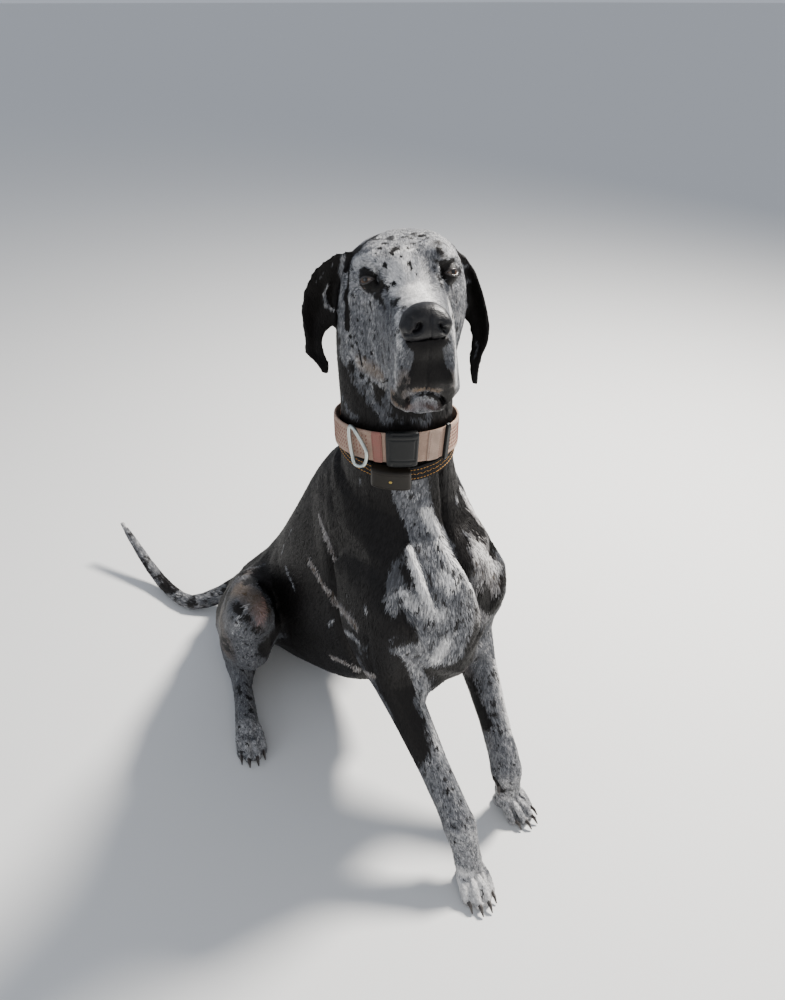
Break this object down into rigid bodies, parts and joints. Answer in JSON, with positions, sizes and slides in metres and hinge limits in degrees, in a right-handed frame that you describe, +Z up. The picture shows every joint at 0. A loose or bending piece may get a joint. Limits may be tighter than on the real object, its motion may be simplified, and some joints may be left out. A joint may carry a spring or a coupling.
{
  "type": "great dane, still life-size model",
  "caption": "Life-size sitting great dane in a merle coat, head turned to its right, wearing a wide webbing collar and a narrow strap with a small box.",
  "frame": {"origin": "on the floor, under the middle of the overall box", "axes": "+Z up, the dog's body faces -Y, +X towards its left side"},
  "size_m": [0.5544, 1.366, 1.0646],
  "materials": {
    "coat": "short glossy hair in grey merle with black patches and white",
    "nose": "damp pebbled black skin",
    "claw": "dark horn",
    "eye": "wet, dark amber iris",
    "webbing": "tan woven webbing",
    "patch": "pinkish brown",
    "buckle": "black moulded plastic",
    "ring": "worn bright metal",
    "strap": "black webbing with gold stitching",
    "receiver": "dark brown plastic"
  },
  "bodies": {
    "root": {"chest": "coat", "loin": "coat", "rump": "coat", "neck_upper": "coat", "neck_lower": "coat", "tail_root": "coat", "tail_middle": "coat", "tail_tip": "coat", "upper_arm_right": "coat", "forearm_right": "coat", "forepaw_right": "coat", "thigh_right": "coat", "shin_right": "coat", "hind_foot_right": "coat", "hind_paw_right": "coat", "upper_arm_left": "coat", "forearm_left": "coat", "forepaw_left": "coat", "thigh_left": "coat", "shin_left": "coat", "hind_foot_left": "coat", "hind_paw_left": "coat", "skull": "coat", "muzzle": "coat", "jaw": "coat", "ear_right": "coat", "ear_left": "coat", "fore_right_claw_outer": "claw", "fore_right_claw_third": "claw", "fore_right_claw_second": "claw", "fore_right_claw_inner": "claw", "hind_right_claw_outer": "claw", "hind_right_claw_third": "claw", "hind_right_claw_second": "claw", "hind_right_claw_inner": "claw", "fore_left_claw_outer": "claw", "fore_left_claw_third": "claw", "fore_left_claw_second": "claw", "fore_left_claw_inner": "claw", "hind_left_claw_outer": "claw", "hind_left_claw_third": "claw", "hind_left_claw_second": "claw", "hind_left_claw_inner": "claw", "fore_right_claw_dew": "claw", "fore_left_claw_dew": "claw", "nose": "nose", "eye_right": "eye", "eye_left": "eye", "collar_band": "webbing", "collar_loop": "webbing", "collar_patch": "patch", "collar_buckle": "buckle", "collar_slide": "buckle", "collar_ring": "ring", "lower_band": "strap", "receiver": "receiver"}
  },
  "joints": []
}
